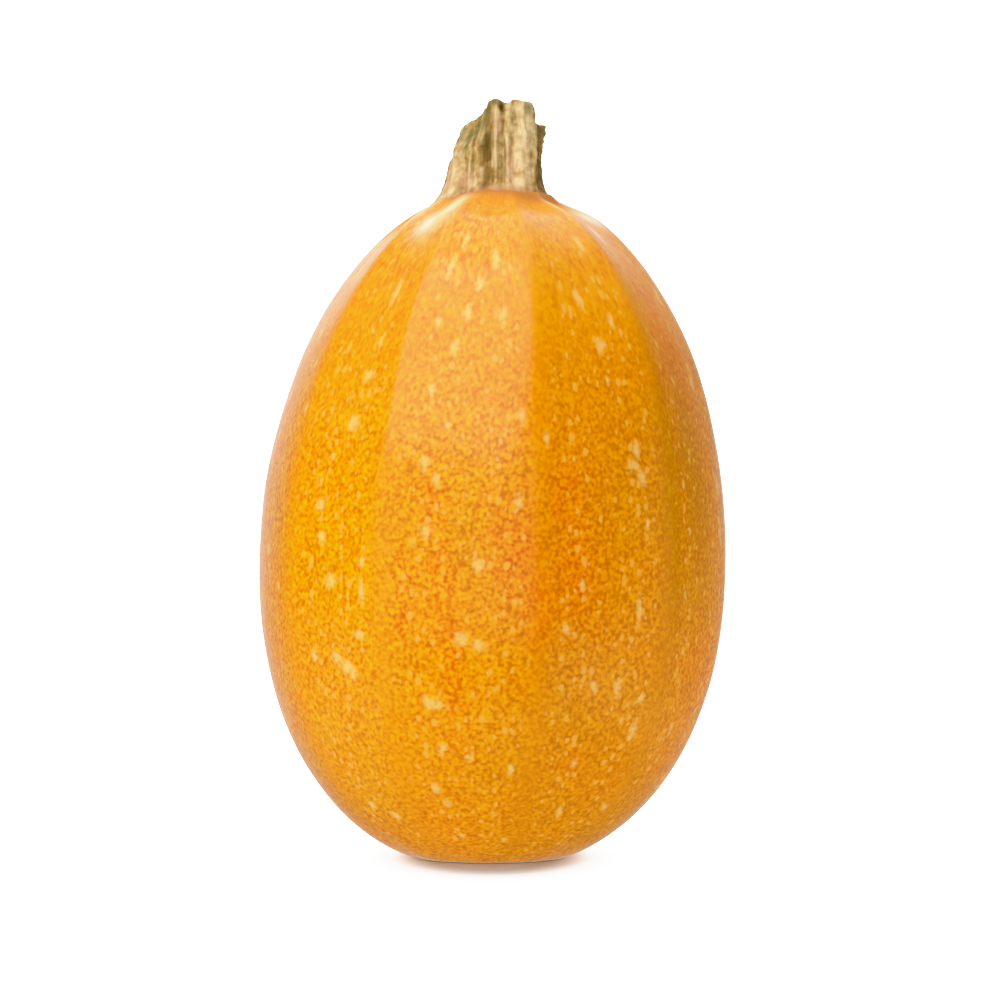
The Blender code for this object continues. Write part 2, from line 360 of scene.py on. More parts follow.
def mark_grain(piece, angles, heights):
    """Writes how dense and how strong the grain is, and how far it is combed towards the stem. The
    density also carries painted shade: sparse skin is darker.
    """
    dense_and_lit = around(angles, DENSITY_AND_LIGHT) * (0.6 + 0.4 * ease(heights, 10.0 * MM, 60.0 * MM))
    near_top = ease(heights, 150.0 * MM, 180.0 * MM)
    put_attribute(piece, "dense_and_lit", dense_and_lit + (0.9 - dense_and_lit) * near_top)
    contrast = 0.95 + 0.10 * ease(heights, 30.0 * MM, 70.0 * MM)
    contrast = contrast - 0.30 * ease(heights, 120.0 * MM, 160.0 * MM)
    put_attribute(piece, "contrast", contrast * (0.62 + 0.42 * dense_and_lit))
    put_attribute(piece, "crown", ease(heights, 150.0 * MM, 196.0 * MM))


def mark_stem_end(piece, spun, angles, on_ridge):
    """Writes what the stem does to the skin round it: ridges with a painted highlight, a brown
    collar, a dried ring.
    """
    crowned = spun[:, 2] > WAIST_HEIGHT
    put_attribute(piece, "ridge", np.where(crowned, on_ridge, 0.0))
    outside = np.hypot(spun[:, 0] - STEM_SHIFT, spun[:, 1]) - around(angles, STEM_FOOT) * MM
    for name, width in (("collar", COLLAR_WIDTH), ("dried", DRIED_WIDTH)):
        near = np.exp(-((np.maximum(outside, 0.0) / width) ** 2))
        put_attribute(piece, name, np.where(crowned, near, 0.0))


def make_rind():
    """The fruit's skin: spun from its outline, pressed to shape, and marked for its material."""
    outline = skin_outline()
    piece = spun_skin("rind_skin", outline[0], outline[1], SKIN_STEPS)
    spun = points_of(piece)
    radii = np.hypot(spun[:, 0], spun[:, 1])
    heights = spun[:, 2]
    angles = np.degrees(np.arctan2(spun[:, 0], -spun[:, 1]))
    turns = np.radians(angles)
    slopes, depths, lengths = (np.interp(heights, outline[1], row) for row in outline[2:])
    place, to_crest = between_crests(angles)
    on_ridge, lift = crown_ridges(radii, angles)

    sunk = depths * rib_hollows(place, heights) - swells(spun, radii)
    crowned = heights > WAIST_HEIGHT
    sunk = sunk - np.where(crowned, lift - crown_dip(radii, angles), 0.0)
    out = radii - sunk * np.cos(slopes)
    x = axis_shift(heights) + out * np.sin(turns)
    y = -out * np.cos(turns)
    z = heights - sunk * np.sin(slopes) + scar_rise(radii, heights)
    put_points(piece, np.stack([x, y, z], axis=1))

    put_attribute(piece, "flow", growth_flow(outline, radii, heights, turns))
    comb = np.stack([COMB_RADIUS * np.sin(turns), -COMB_RADIUS * np.cos(turns), lengths], axis=1)
    put_attribute(piece, "comb", comb)
    put_attribute(piece, "to_crest", to_crest)
    put_attribute(piece, "fleck", fleck_field(angles, heights, radii, lengths, outline))
    put_attribute(piece, "blush", patches(angles, heights, BLUSHES))
    put_attribute(piece, "green", patches(angles, heights, GREENS))
    put_attribute(piece, "painted_glint", patches(angles, heights, PAINTED_GLINTS))
    mark_grain(piece, angles, heights)
    mark_stem_end(piece, spun, angles, on_ridge)
    return piece


# The stem's forms all round it, as (angle, millimetres), are the solid's, but for a few points on
# the foot, the lean and the rim that follow the photo closer. Its axis stands this far to +X.
STEM_SHIFT = 1.6 * MM
# The radius of the stem between its foot and its top, with its ridges and grooves
STEM_SECTION = (
    (-90, 14.2), (-62, 15.0), (-46, 12.9), (-37, 13.9), (-30, 12.7), (-23, 13.0), (-11, 9.6),
    (3, 12.5), (12, 11.2), (20, 13.0), (26, 12.6), (38, 15.2), (54, 15.7), (68, 10.9),
    (98, 14.4), (136, 10.2), (172, 14.8), (190, 12.2), (200, 12.6), (219, 10.0), (246, 15.2),
    (258, 13.2),
)
# The radius where it meets the fruit
STEM_FOOT = (
    (-90, 25.2), (-74, 23.4), (-58, 19.8), (-46, 17.4), (-35, 17.2), (-22, 15.6), (-11, 14.8),
    (4, 15.4), (12, 15.2), (30, 16.6), (54, 16.8), (68, 16.2), (92, 17.2), (112, 17.2),
    (136, 15.2), (172, 18.5), (219, 15.5), (246, 21.0),
)
# The height of the broken rim
STEM_RIM = (
    (-118, 229.8), (-90, 230.8), (-66, 232.5), (-50, 233.7), (-40, 234.5), (-26, 237.4),
    (-12, 239.0), (4, 239.2), (14, 238.5), (28, 238.9), (52, 239.0), (62, 237.0), (74, 232.6),
    (104, 232.2), (136, 232.6), (172, 237.0), (205, 235.0),
)
# How far the top leans out all round, or in where it is below 0
STEM_TURN = (
    (-90, -2.4), (-62, -3.4), (-40, -4.6), (-26, -5.2), (-14, -1.4), (0, -0.4), (30, -0.6),
    (54, -0.6), (68, 0.0), (84, 1.6), (100, 2.0), (136, -1.0), (172, -1.4), (246, -3.0),
)
# The share of the stem's height at which that lean starts
TURN_STARTS = 0.55
# The height in which most of the foot's spread dies out
STEM_FLARE = (
    (-90, 6.2), (-46, 4.4), (4, 3.6), (50, 4.2), (92, 4.9), (172, 4.5), (246, 5.5),
)
# How pale and how lit the wood is round the stem: 1 on the bare ridges and 0 in the dusty grooves.
# The dark grooves and the dark band on the right side are painted shade as well as dust
STEM_PALE_AND_LIT = (
    (-102, 0.40), (-88, 0.45), (-76, 0.70), (-64, 0.82), (-53, 0.60), (-46, 0.38), (-41, 0.55),
    (-37, 0.68), (-33, 0.48), (-29, 0.62), (-23, 0.48), (-16, 0.38), (-8, 0.36), (-3, 0.52),
    (3, 0.72), (8, 0.66), (12, 0.50), (16, 0.66), (20, 0.80), (24, 0.66), (29, 0.82), (38, 0.95),
    (47, 0.85), (55, 0.50), (62, 0.26), (72, 0.12), (84, 0.20), (95, 0.30), (104, 0.45),
    (120, 0.6), (136, 0.2), (155, 0.5), (172, 0.85), (190, 0.45), (200, 0.65), (219, 0.2),
    (240, 0.65),
)
# Tinted places on it, as (angle, height, degrees wide, millimetres tall)
STEM_GREENS = (
    (-66, 230, 12, 5), (-22, 234, 14, 6), (-36, 231, 12, 6), (-48, 227, 9, 6), (4, 239, 16, 2),
    (76, 229, 12, 8), (44, 237, 8, 3), (100, 230, 14, 3), (-14, 227, 8, 6), (13, 222, 2, 9),
    (150, 230, 16, 8), (205, 226, 14, 9), (240, 224, 14, 9),
)
STEM_PINKS = (
    (3, 231, 7, 5), (17, 222, 3, 6), (-40, 214, 14, 4), (-66, 216, 10, 8), (22, 218, 5, 8),
    (4, 211, 50, 1.4), (160, 222, 16, 9), (246, 216, 14, 6),
)
# A hole beside the rim, in the same terms
STEM_HOLE = (8, 237.2, 5, 1.3)
HOLE_DEPTH = 1.6 * MM
# The height of the shrunken pith in its top, and how deep its foot is sunk into the crown
PITH_HEIGHT = 235.6 * MM
FOOT_SINK = 0.8 * MM
# The blank that the stem is shaped from, and the steps and rings of its mesh
BLANK_RADIUS = 10.0 * MM
STEM_STEPS = 288
SIDE_RINGS = 120
TOP_RINGS = 40
FOOT_RINGS = 6
# The wood's grain is laid out on a drum of this size, in millimetres
WOOD_RADIUS = 13.0
WOOD_HEIGHT = 30.0
# Towards the broken top the ridges and grooves wear down to this radius
WORN_RADIUS = 13.2 * MM


def crown_height(across, along):
    """The height of the fruit's crown under points near the stem."""
    top = WAIST_HEIGHT + UPPER_REACH
    beside = across - axis_shift(top)
    from_axis = np.hypot(beside, along)
    dome = WAIST_HEIGHT + UPPER_REACH * np.sqrt(1.0 - (from_axis / FRUIT_RADIUS) ** 2)
    return dome - crown_dip(from_axis, np.degrees(np.arctan2(beside, -along)))


def stem_blank():
    """The blank that the stem is shaped from: a drum with rings for the foot and the top. Heights
    on its side are shares of the stem's height, from 0 to 1."""
    foot_shares = np.linspace(0.0, 1.0, FOOT_RINGS, endpoint=False)
    top_shares = np.linspace(1.0, 0.0, TOP_RINGS + 1)[1:]
    radii = np.concatenate([foot_shares, np.ones(SIDE_RINGS), top_shares]) * BLANK_RADIUS
    side = np.linspace(0.0, 1.0, SIDE_RINGS)
    heights = np.concatenate([foot_shares * 0.0, side, 1.0 + (1.0 - top_shares) * 0.1])
    return spun_skin("stem_wood", radii, heights, STEM_STEPS)


def wood_relief(fibres, strands, ring, level):
    """The wood's relief in millimetres: its fibres, and lumps and warts that grow upwards."""
    lumps = grain(ring * (1.0, 1.0, 0.8), 4.2, 4)
    warts = grain(ring, 1.7, 5)
    worn = 0.3 + 0.7 * ease(level, 0.1, 0.85)
    return 0.36 * fibres + 0.14 * strands + 0.75 * lumps * worn + 0.50 * warts * worn


def broken_rim(angles, ring):
    """The height of the rim, with the ragged edge that is left where the stem broke."""
    flat = ring * (1.0, 1.0, 0.0)
    edge = 0.7 * grain(flat, 4.2, 6) + 0.45 * grain(flat, 1.8, 7)
    return around(angles, STEM_RIM) * MM + edge * MM


def folded_top(rim, ring, share):
    """The height of the top, which folds in over the rim, crumples and sinks to the shrunken pith,
    and how much of that is crumpling."""
    inside = 1.0 - share
    crumple = grain(ring * share[:, None], 3.0, 8) * 1.3 * MM * ease(inside, 0.05, 0.4)
    fold = np.sin(np.clip(inside / 0.16, 0.0, 1.0) * math.pi) * 0.4 * MM
    sunk = 2.0 * MM * np.sin(math.pi * inside) ** 2
    height = rim + (PITH_HEIGHT - rim) * ease(inside, 0.0, 1.0) + fold - sunk + crumple
    return height, crumple


def make_stem():
    """The stem: a spun blank, pulled out into its ridges, grooves, flared foot and broken top."""
    piece = stem_blank()
    blank = points_of(piece)
    angles = np.degrees(np.arctan2(blank[:, 0], -blank[:, 1]))
    share = np.hypot(blank[:, 0], blank[:, 1]) / BLANK_RADIUS
    level = np.clip(blank[:, 2], 0.0, 1.0)
    on_foot = blank[:, 2] < 1e-6
    on_top = blank[:, 2] > 1.0 + 1e-6

    # The wood's fibres run up the stem, and its ridges wander a little as they climb
    turns = np.radians(angles)
    out_x, out_y = np.sin(turns), -np.cos(turns)
    ring = np.stack([out_x * WOOD_RADIUS, out_y * WOOD_RADIUS, level * WOOD_HEIGHT], axis=1)
    fibres = grain(ring * (1.0, 1.0, 0.13), 1.7, 3)
    strands = grain(ring * (1.0, 1.0, 0.10), 0.8, 9)
    wander = angles + 3.0 * np.sin(level * 3.0 + turns * 2.0)

    # The foot's spread dies out upwards, and the ridges wear down towards the top
    section = around(wander, STEM_SECTION) * MM
    foot = around(angles, STEM_FOOT) * MM
    start = crown_height(STEM_SHIFT + foot * out_x, foot * out_y) - FOOT_SINK
    rim = broken_rim(angles, ring)
    height = start + (rim - start) * level
    reach = around(angles, STEM_FLARE) * MM
    flare = (foot - section) * np.exp((start - height) / reach)
    bend = around(angles, STEM_TURN) * MM * ease(level, TURN_STARTS, 1.0)
    worn = 0.35 * ease(level, 0.45, 0.95)
    section = section + (WORN_RADIUS - section) * worn
    relief = wood_relief(fibres, strands, ring, level) * MM * ease(level, 0.0, 0.10)
    hole = patches(angles, height, (STEM_HOLE,))
    radius = section + flare + bend + relief - hole * HOLE_DEPTH

    # The top closes over the middle, and the foot is sunk a little into the crown
    top_height, crumple = folded_top(rim, ring, share)
    height = np.where(on_top, top_height, height)
    radius = np.where(on_top, radius * share, radius)
    radius = np.where(on_foot, foot * share, radius)
    x = STEM_SHIFT + radius * out_x
    y = radius * out_y
    height = np.where(on_foot, crown_height(x, y) - FOOT_SINK, height)
    put_points(piece, np.stack([x, y, height], axis=1))

    # Painted shade in the hole, and on the top in the crumples' folds, with their rises painted
    # paler
    pale_and_lit = around(wander, STEM_PALE_AND_LIT) + 0.22 * fibres + 0.15 * strands - 0.8 * hole
    put_attribute(piece, "pale_and_lit", np.where(on_top, 0.55 * pale_and_lit + 0.1 * crumple / MM, pale_and_lit))
    put_attribute(piece, "level", np.where(on_top, 1.0 + (1.0 - share), level))
    put_attribute(piece, "greenish", patches(angles, height, STEM_GREENS))
    put_attribute(piece, "pinkish", patches(angles, height, STEM_PINKS))
    drum = np.stack([out_x * WOOD_RADIUS, out_y * WOOD_RADIUS, height / MM], axis=1)
    put_attribute(piece, "fibre", drum * MM)
    return piece


def linear(hex_colour):
    """An sRGB hex colour as the linear colour that a socket takes."""
    channels = [int(hex_colour[i : i + 2], 16) / 255.0 for i in (1, 3, 5)]
    return [c / 12.92 if c <= 0.04045 else ((c + 0.055) / 1.055) ** 2.4 for c in channels] + [1.0]


def per_metre(millimetres):
    """The texture scale at which one lump, cell or wave is about this wide."""
    return 1000.0 / millimetres


def add(tree, kind, sockets=None, out=0, **settings):
    """Adds a node with its settings, sets or links its sockets, and gives back one output."""
    made = tree.nodes.new("ShaderNode" + kind)
    for name, value in settings.items():
        setattr(made, name, value)
    for socket, value in (sockets or {}).items():
        if isinstance(value, bpy.types.NodeSocket):
            tree.links.new(value, made.inputs[socket])
        else:
            made.inputs[socket].default_value = value
    return made.outputs[out]


def new_material(name):
    """An empty material, and the shader that its nodes feed."""
    material = bpy.data.materials.new(name)
    material.use_nodes = True
    shader = material.node_tree.nodes["Principled BSDF"]
    return material, material.node_tree, shader


def rind_grain(tree, flow, shaken, combed, off_crest):
    """The grain, from 0 in its dark gaps to 1 on its pale granules, which lie 1 to 2 mm apart."""
    crown = add(tree, "Attribute", attribute_name="crown", out="Fac")
    dense_and_lit = add(tree, "Attribute", attribute_name="dense_and_lit", out="Fac")
    contrast = add(tree, "Attribute", attribute_name="contrast", out="Fac")
    drawn = add(tree, "VectorMath", {0: combed, 1: (1.0, 1.0, 0.70)}, operation="MULTIPLY")
    streaky = add(tree, "VectorMath", {0: combed, 1: (1.0, 1.0, 0.30)}, operation="MULTIPLY")

    # Granules: soft pale dots, larger on the sunny side, and drawn out near the stem
    grains = []
    for place, size in ((shaken, 1.55), (drawn, 1.5)):
        cell = add(tree, "TexVoronoi", {"Vector": place, "Scale": per_metre(size)}, "Distance")
        luck = add(tree, "SeparateColor", {"Color": cell.node.outputs["Color"]})
        reach = add(tree, "MapRange", {"Value": luck, "To Min": 0.12, "To Max": 0.44})
        reach = add(tree, "Math", {0: dense_and_lit, 1: 0.14, 2: reach}, operation="MULTIPLY_ADD")
        inside = add(tree, "Math", {0: reach, 1: cell}, operation="SUBTRACT")
        grains.append(add(tree, "MapRange", {"Value": inside, "From Min": -0.45, "From Max": 0.35}))
    granule = add(tree, "MixRGB", {0: crown, 1: grains[0], 2: grains[1]})
    granule = add(tree, "Math", {0: granule, 1: 0.50}, operation="SUBTRACT")
    granule = add(tree, "Math", {0: granule, 1: 0.46}, operation="MULTIPLY")

    # Mottling between them, which turns to streaks near the stem
    mottle = add(tree, "TexNoise", {"Vector": flow, "Scale": per_metre(1.2), "Detail": 0.0})
    mottle = add(tree, "MapRange", {"Value": mottle, "From Min": 0.25, "From Max": 0.75,
                                    "To Min": -0.36, "To Max": 0.36})
    streaks = add(tree, "TexNoise", {"Vector": streaky, "Scale": per_metre(1.05), "Detail": 0.0})
    streaks = add(tree, "MapRange", {"Value": streaks, "From Min": 0.25, "From Max": 0.75,
                                     "To Min": -0.40, "To Max": 0.40})
    mottle = add(tree, "MixRGB", {0: crown, 1: mottle, 2: streaks})

    roughly = add(tree, "MapRange", {"Value": off_crest, "To Min": 0.70, "To Max": 1.0})
    speckle = add(tree, "Math", {0: granule, 1: mottle}, operation="ADD")
    speckle = add(tree, "Math", {0: speckle, 1: roughly}, operation="MULTIPLY")
    speckle = add(tree, "Math", {0: speckle, 1: contrast}, operation="MULTIPLY")
    # Painted shade: the skin is darker where granules are sparse, as on the fruit's right side
    level = add(tree, "MapRange", {"Value": dense_and_lit, "From Min": 0.3, "From Max": 0.9,
                                   "To Min": 0.36, "To Max": 0.50})
    return add(tree, "Math", {0: speckle, 1: level}, operation="ADD", use_clamp=True)


def lenticel_dots(tree, shaken, to_crest, off_crest):
    """Clear dots of 1 to 2 mm, a few millimetres apart and a little taller than wide. They are
    larger, and more of them show, in lanes along both sides of each crest."""
    tall = add(tree, "VectorMath", {0: shaken, 1: (1.0, 1.0, 0.76)}, operation="MULTIPLY")
    cell = add(tree, "TexVoronoi", {"Vector": tall, "Scale": per_metre(2.4)}, "Distance")
    luck = add(tree, "SeparateColor", {"Color": cell.node.outputs["Color"]})
    size = add(tree, "MapRange", {"Value": luck, "From Min": 0.05, "From Max": 1.0,
                                  "To Min": 0.04, "To Max": 0.42})
    lane = add(tree, "MapRange", {"Value": to_crest, "From Min": 4.0, "From Max": 9.0})
    lane_end = add(tree, "MapRange", {"Value": to_crest, "From Min": 17.0, "From Max": 11.0})
    lane = add(tree, "Math", {0: lane, 1: lane_end}, operation="MULTIPLY")
    lane = add(tree, "MapRange", {"Value": lane, "To Min": -0.07, "To Max": 0.06})
    size = add(tree, "Math", {0: size, 1: lane}, operation="ADD")
    dots = add(tree, "Math", {0: size, 1: cell}, operation="SUBTRACT")
    dots = add(tree, "MapRange", {"Value": dots, "From Min": -0.10, "From Max": 0.15},
               interpolation_type="SMOOTHSTEP")
    dots = add(tree, "Math", {0: dots, 1: off_crest}, operation="MULTIPLY")
    return add(tree, "Math", {0: dots, 1: 0.96}, operation="MULTIPLY")


def cream_flecks(tree, flow, speckle):
    """The big cream marks, cut out of their field with a ragged edge. The grain shows through."""
    fleck = add(tree, "Attribute", attribute_name="fleck", out="Fac")
    ragged = add(tree, "TexNoise", {"Vector": flow, "Scale": per_metre(2.0), "Detail": 1.0})
    ragged = add(tree, "MapRange", {"Value": ragged, "From Min": 0.25, "From Max": 0.75,
                                    "To Min": -0.4, "To Max": 0.4})
    flecks = add(tree, "Math", {0: fleck, 1: ragged}, operation="ADD")
    flecks = add(tree, "MapRange", {"Value": flecks, "From Min": -0.30, "From Max": 0.75},
                 interpolation_type="SMOOTHSTEP")
    grainy = add(tree, "MapRange", {"Value": speckle, "To Min": 0.75, "To Max": 1.0})
    return add(tree, "Math", {0: flecks, 1: grainy}, operation="MULTIPLY")


def ripe_orange(tree, flow, speckle):
    """The skin under its dots and flecks: oranges that drift, blush redder or stay greener."""
    blush = add(tree, "Attribute", attribute_name="blush", out="Fac")
    green = add(tree, "Attribute", attribute_name="green", out="Fac")
    hue = add(tree, "TexNoise", {"Vector": flow, "Scale": per_metre(26.0), "Detail": 3.0})
    hue = add(tree, "MapRange", {"Value": hue, "From Min": 0.3, "From Max": 0.7})
    gaps = add(tree, "MixRGB", {0: hue, 1: linear("#DA7600"), 2: linear("#D47E00")})
    gaps = add(tree, "MixRGB", {0: blush, 1: gaps, 2: linear("#DC6A00")})
    ground = add(tree, "MixRGB", {0: hue, 1: linear("#FC9602"), 2: linear("#F49C04")})
    ground = add(tree, "MixRGB", {0: blush, 1: ground, 2: linear("#FF8C08")})
    ground = add(tree, "MixRGB", {0: green, 1: ground, 2: linear("#DC9004")})
    low = add(tree, "MapRange", {"Value": speckle, "From Min": 0.0, "From Max": 0.45})
    high = add(tree, "MapRange", {"Value": speckle, "From Min": 0.40, "From Max": 1.0})
    colour = add(tree, "MixRGB", {0: low, 1: gaps, 2: ground})
    return add(tree, "MixRGB", {0: high, 1: colour, 2: linear("#FFB90C")})


def stem_end_colour(tree, colour, ridge, painted_glint, dried):
    """The skin round the stem: dried out, with painted highlights on the ridges and beside them,
    and browned.
    """
    collar = add(tree, "Attribute", attribute_name="collar", out="Fac")
    faded = add(tree, "Math", {0: dried, 1: 0.5}, operation="MULTIPLY")
    colour = add(tree, "MixRGB", {0: faded, 1: colour, 2: linear("#FFA244")})
    # Painted highlights: pinkish-white glints on the crown beside the stem
    colour = add(tree, "MixRGB", {0: painted_glint, 1: colour, 2: linear("#FFE6CC")})
    # Painted highlight: pale cream along the crown's ridges, where their crests catch the light
    colour = add(tree, "MixRGB", {0: ridge, 1: colour, 2: linear("#F8E0A8")})
    browned = add(tree, "Math", {0: collar, 1: 0.75}, operation="MULTIPLY")
    return add(tree, "MixRGB", {0: browned, 1: colour, 2: linear("#C47C3A")})


def rind_dullness(tree, ridge, painted_glint, dried):
    """The skin's roughness: waxy all over, but for the ridges, the painted glints beside them, and
    where it dried out.
    """
    worn = add(tree, "Math", {0: ridge, 1: painted_glint}, operation="MAXIMUM")
    worn = add(tree, "MapRange", {"Value": worn, "From Max": 0.6, "To Min": 0.22, "To Max": 0.7})
    dull = add(tree, "MapRange", {"Value": dried, "From Max": 0.7, "To Min": 0.22, "To Max": 0.95})
    return add(tree, "Math", {0: worn, 1: dull}, operation="MAXIMUM")


def rind_finish():
    """Ripe winter squash rind: hard, waxed by the plant itself, orange with cream lenticels. The
    wax gives the skin a soft mirror, which is lost where it dried out round the stem."""
    material, tree, shader = new_material("waxy_squash_rind")
    flow = add(tree, "Attribute", attribute_name="flow", out="Vector")
    comb = add(tree, "Attribute", attribute_name="comb", out="Vector")
    to_crest = add(tree, "Attribute", attribute_name="to_crest", out="Fac")
    ridge = add(tree, "Attribute", attribute_name="ridge", out="Fac")
    painted_glint = add(tree, "Attribute", attribute_name="painted_glint", out="Fac")
    dried = add(tree, "Attribute", attribute_name="dried", out="Fac")

    # Patterns are read at slightly shaken places, so that no mark has a clean outline
    shake = add(tree, "TexNoise", {"Vector": flow, "Scale": per_metre(1.7), "Detail": 1.0}, "Color")
    shake = add(tree, "VectorMath", {0: shake, 1: (0.5, 0.5, 0.5)}, operation="SUBTRACT")
    shake = add(tree, "VectorMath", {0: shake, "Scale": 1.3 * MM}, operation="SCALE")
    shaken = add(tree, "VectorMath", {0: flow, 1: shake}, operation="ADD")
    combed = add(tree, "VectorMath", {0: comb, 1: shake}, operation="ADD")

    # The stripes along the crests are smoother, with wandering sides
    wander = add(tree, "TexNoise", {"Vector": flow, "Scale": per_metre(6.0), "Detail": 2.0})
    wander = add(tree, "MapRange", {"Value": wander, "To Min": -2.0, "To Max": 2.0})
    off_crest = add(tree, "Math", {0: to_crest, 1: wander}, operation="ADD")
    off_crest = add(tree, "MapRange", {"Value": off_crest, "From Min": 0.8, "From Max": 4.2})

    speckle = rind_grain(tree, flow, shaken, combed, off_crest)
    dots = lenticel_dots(tree, shaken, to_crest, off_crest)
    flecks = cream_flecks(tree, flow, speckle)
    colour = ripe_orange(tree, flow, speckle)
    colour = add(tree, "MixRGB", {0: dots, 1: colour, 2: linear("#FFB440")})
    colour = add(tree, "MixRGB", {0: flecks, 1: colour, 2: linear("#FFCA68")})
    colour = stem_end_colour(tree, colour, ridge, painted_glint, dried)
    tree.links.new(colour, shader.inputs["Base Color"])
    dull = rind_dullness(tree, ridge, painted_glint, dried)
    tree.links.new(dull, shader.inputs["Roughness"])

    # Pale marks stand a few hundredths of a millimetre proud
    height = add(tree, "Math", {0: speckle, 1: 0.5}, operation="MULTIPLY")
    height = add(tree, "Math", {0: height, 1: flecks}, operation="ADD")
    bump = add(tree, "Bump", {"Height": height, "Strength": 0.25, "Distance": 0.10 * MM})
    tree.links.new(bump, shader.inputs["Normal"])
    shader.inputs["IOR"].default_value = 1.45
    shader.inputs["Specular IOR Level"].default_value = 0.5
    return material


def stem_finish():
    """Dried squash stem, shrunk to corky ridges, with grey-green skin left in places, and brown
    dust and painted shade in the grooves. It is dull all over."""
    material, tree, shader = new_material("dried_corky_stem")
    fibre = add(tree, "Attribute", attribute_name="fibre", out="Vector")
    pale_and_lit = add(tree, "Attribute", attribute_name="pale_and_lit", out="Fac")
    level = add(tree, "Attribute", attribute_name="level", out="Fac")
    greenish = add(tree, "Attribute", attribute_name="greenish", out="Fac")
    pinkish = add(tree, "Attribute", attribute_name="pinkish", out="Fac")

    along = add(tree, "VectorMath", {0: fibre, 1: (1.0, 1.0, 0.22)}, operation="MULTIPLY")
    strands = add(tree, "TexNoise", {"Vector": along, "Scale": per_metre(1.1), "Detail": 3.0})
    blotch = add(tree, "TexNoise", {"Vector": fibre, "Scale": per_metre(2.4), "Detail": 5.0})

    # Bare wood, from dusty brown through tan to cream, with painted shade in the grooves and on the
    # right side
    streak = add(tree, "MapRange", {"Value": strands, "From Min": 0.3, "From Max": 0.7,
                                    "To Min": -0.20, "To Max": 0.20})
    mottle = add(tree, "MapRange", {"Value": blotch, "From Min": 0.3, "From Max": 0.7,
                                    "To Min": -0.34, "To Max": 0.34})
    pale_and_lit = total(tree, [pale_and_lit, streak, mottle])
    low = add(tree, "MapRange", {"Value": pale_and_lit, "From Min": 0.0, "From Max": 0.5})
    high = add(tree, "MapRange", {"Value": pale_and_lit, "From Min": 0.45, "From Max": 1.05})
    colour = add(tree, "MixRGB", {0: low, 1: linear("#80622A"), 2: linear("#C09A58")})
    colour = add(tree, "MixRGB", {0: high, 1: colour, 2: linear("#F0D6A0")})

    # What is left of the green skin has dried to grey olive
    green = add(tree, "Math", {0: greenish, 1: mottle}, operation="ADD")
    green = add(tree, "Math", {0: green, 1: streak}, operation="SUBTRACT")
    green = add(tree, "MapRange", {"Value": green, "From Min": 0.15, "From Max": 0.75,
                                   "To Max": 0.75})
    colour = add(tree, "MixRGB", {0: green, 1: colour, 2: linear("#7C7038")})
    pink = add(tree, "Math", {0: pinkish, 1: 0.55}, operation="MULTIPLY")
    colour = add(tree, "MixRGB", {0: pink, 1: colour, 2: linear("#E2B08C")})
    foot = add(tree, "MapRange", {"Value": level, "From Min": 0.12, "From Max": 0.0,
                                  "To Min": 0.0, "To Max": 0.75})
    colour = add(tree, "MixRGB", {0: foot, 1: colour, 2: linear("#C07A3C")})
    tree.links.new(colour, shader.inputs["Base Color"])

    relief = add(tree, "Math", {0: strands, 1: blotch}, operation="ADD")
    bump = add(tree, "Bump", {"Height": relief, "Strength": 0.7, "Distance": 0.4 * MM})
    tree.links.new(bump, shader.inputs["Normal"])
    shader.inputs["Roughness"].default_value = 0.75
    shader.inputs["IOR"].default_value = 1.45
    return material


def floor_finish():
    """Matt white paper sweep with a painted glow, weak round the foot and strong beyond, so that it
    looks over-exposed and only the shade at the foot shows.
    """
    material, tree, shader = new_material("white_paper_sweep")
    place = add(tree, "TexCoord", out="Object")
    # The painted glow is weak within 19 mm of the fruit's axis at the sides and 41 mm in front and
    # behind, and is full, ending the shade, at 52 mm at the sides and 114 mm in front and behind
    far = add(tree, "VectorMath", {0: place, 1: (24.0, 11.0, 0.0)}, operation="MULTIPLY")
    far = add(tree, "VectorMath", {0: far}, operation="LENGTH", out="Value")
    far = add(tree, "MapRange", {"Value": far, "From Min": 0.45, "From Max": 1.25,
                                 "To Min": 0.10, "To Max": 2.5}, interpolation_type="SMOOTHSTEP")
    tree.links.new(far, shader.inputs["Emission Strength"])
    shader.inputs["Base Color"].default_value = (0.5, 0.5, 0.5, 1.0)
    shader.inputs["Emission Color"].default_value = (1.0, 1.0, 1.0, 1.0)
    shader.inputs["Roughness"].default_value = 1.0
    shader.inputs["Specular IOR Level"].default_value = 0.0
    return material


def softbox(name, place, size, radiance, facing=None, gloss=True):
    """A square-cornered soft light, turned to the fruit. radiance is how bright its face looks."""
    light = bpy.data.lights.new(name, "AREA")
    light.shape = "RECTANGLE"
    light.size, light.size_y = size
    light.energy = radiance * math.pi * size[0] * size[1]
    lamp = bpy.data.objects.new(name, light)
    lamp.location = place
    facing = facing or Vector((0.0, 0.0, MID_HEIGHT)) - Vector(place)
    lamp.rotation_euler = facing.to_track_quat("-Z", "Y").to_euler()
    lamp.visible_camera = False
    lamp.visible_glossy = gloss
    bpy.context.collection.objects.link(lamp)
    return lamp


def direction(azimuth, elevation, distance):
    """A place round the fruit's middle: azimuth 0 is the camera's side, and +90 is to the right."""
    a, e = math.radians(azimuth), math.radians(elevation)
    return (
        distance * math.cos(e) * math.sin(a),
        -distance * math.cos(e) * math.cos(a),
        MID_HEIGHT + distance * math.sin(e),
    )


